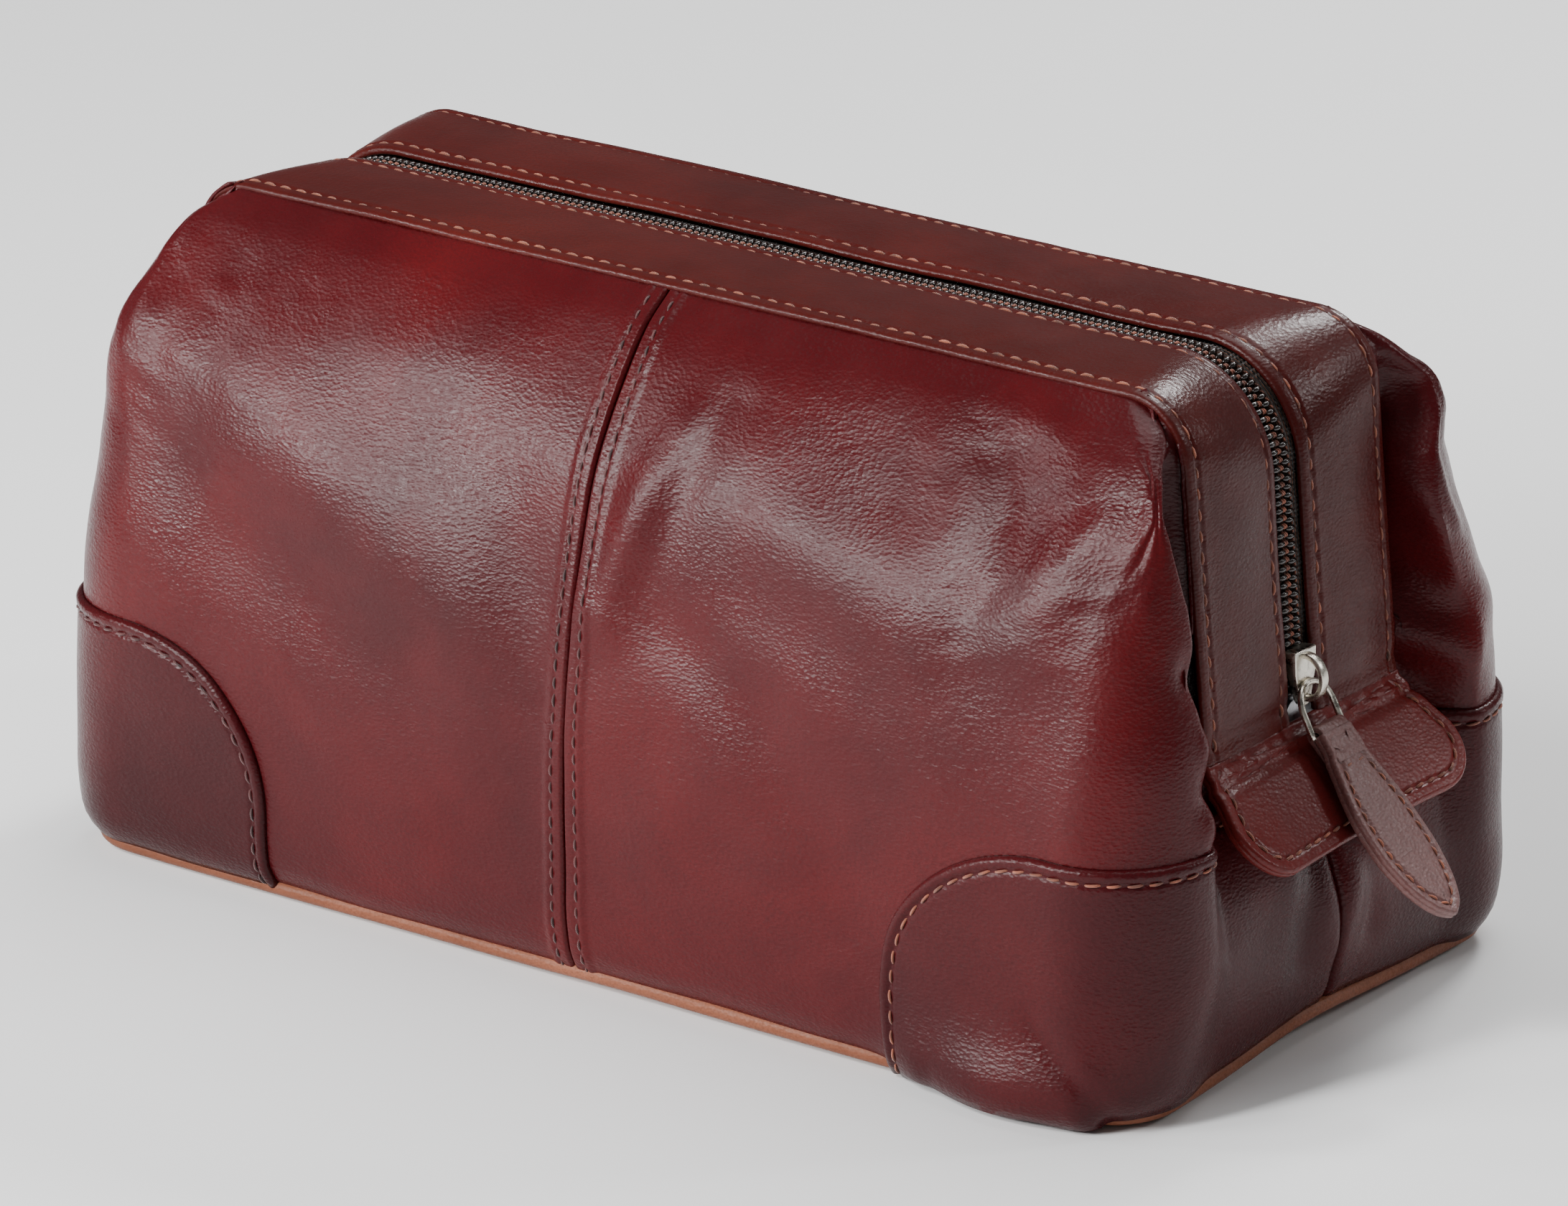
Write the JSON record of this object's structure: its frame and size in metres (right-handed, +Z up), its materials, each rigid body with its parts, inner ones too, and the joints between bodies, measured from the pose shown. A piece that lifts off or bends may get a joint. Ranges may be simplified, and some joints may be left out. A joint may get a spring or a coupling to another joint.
{
  "type": "shaving kit bag",
  "caption": "Framed leather shaving kit bag with a zip over the top and down both ends, corner patches, flared end tabs and a leather zip puller",
  "frame": {"origin": "middle of the base panel's underside, at the height it rests on", "axes": "+X along the bag towards the end where the closed zip's slider sits, -Y towards the front, +Z up"},
  "size_m": [0.3065, 0.1452, 0.1355],
  "materials": {
    "panel_leather": "glazed burgundy cow hide, fine grain, waxed sheen",
    "patch_leather": "glazed burgundy cow hide, a shade darker",
    "facing_leather": "glazed brown-burgundy hide over a steel frame, topstitched",
    "tab_leather": "doubled hide with a stitched edge",
    "base_leather": "matt tan-brown hide, turned edge",
    "puller_leather": "doubled hide, stitched edge",
    "backing_leather": "unfinished back of hide",
    "lining_cloth": "dark woven lining",
    "sleeve_cloth": "dark woven sleeve over the frame",
    "frame_steel": "flat spring steel strip",
    "rivet_steel": "plain rivet",
    "hardware_nickel": "nickel plate, satin",
    "zip_tape": "dark brown woven polyester tape",
    "zip_coil": "dark brown nylon coil",
    "board": "thin stiffening board"
  },
  "bodies": {
    "bag_body": {"back_left_corner_patch": "patch_leather", "back_left_panel": "panel_leather", "back_lining": "lining_cloth", "back_right_corner_patch": "patch_leather", "back_right_panel": "panel_leather", "base_board": "board", "base_lining": "lining_cloth", "base_panel": "base_leather", "front_left_corner_patch": "patch_leather", "front_left_panel": "panel_leather", "front_lining": "lining_cloth", "front_right_corner_patch": "patch_leather", "front_right_panel": "panel_leather", "left_hinge_rivet": "rivet_steel", "left_tab": "tab_leather", "left_tab_backing": "backing_leather", "right_hinge_rivet": "rivet_steel", "right_tab": "tab_leather", "right_tab_backing": "backing_leather", "zip_end_stop": "hardware_nickel"},
    "front_mouth": {"front_facing": "facing_leather", "front_frame": "frame_steel", "front_frame_sleeve": "sleeve_cloth", "front_zip_tape": "zip_tape", "front_zip_coil": "zip_coil"},
    "back_mouth": {"back_facing": "facing_leather", "back_frame": "frame_steel", "back_frame_sleeve": "sleeve_cloth", "back_zip_tape": "zip_tape", "back_zip_coil": "zip_coil"},
    "zip_slider": {"slider_body": "hardware_nickel"},
    "zip_loop": {"pull_loop": "hardware_nickel"},
    "zip_puller": {"leather_puller": "puller_leather"}
  },
  "joints": [
    {"name": "front_mouth_hinge", "type": "hinge", "parent": "bag_body", "child": "front_mouth", "pos_m": [0, 0, 0.0638], "axis": [1, 0, 0], "range_deg": [0, 45], "deforming": ["front_left_panel", "front_right_panel", "front_lining", "front_left_corner_patch", "front_right_corner_patch", "left_tab", "right_tab", "left_tab_backing", "right_tab_backing"]},
    {"name": "back_mouth_hinge", "type": "hinge", "parent": "bag_body", "child": "back_mouth", "pos_m": [0, 0, 0.0638], "axis": [-1, 0, 0], "range_deg": [0, 45], "deforming": ["back_left_panel", "back_right_panel", "back_lining", "back_left_corner_patch", "back_right_corner_patch"]},
    {"name": "zip_slide", "type": "slide", "parent": "front_mouth", "child": "zip_slider", "axis": [-0.0894, 0, 0.996], "range_m": [0, 0.033]},
    {"name": "loop_swing", "type": "hinge", "parent": "zip_slider", "child": "zip_loop", "pos_m": [0.1284, 0, 0.0707], "axis": [0, -1, 0], "range_deg": [0, 105]},
    {"name": "puller_swing", "type": "hinge", "parent": "zip_loop", "child": "zip_puller", "pos_m": [0.1328, 0, 0.0622], "axis": [0, -1, 0], "range_deg": [0, 35]}
  ]
}
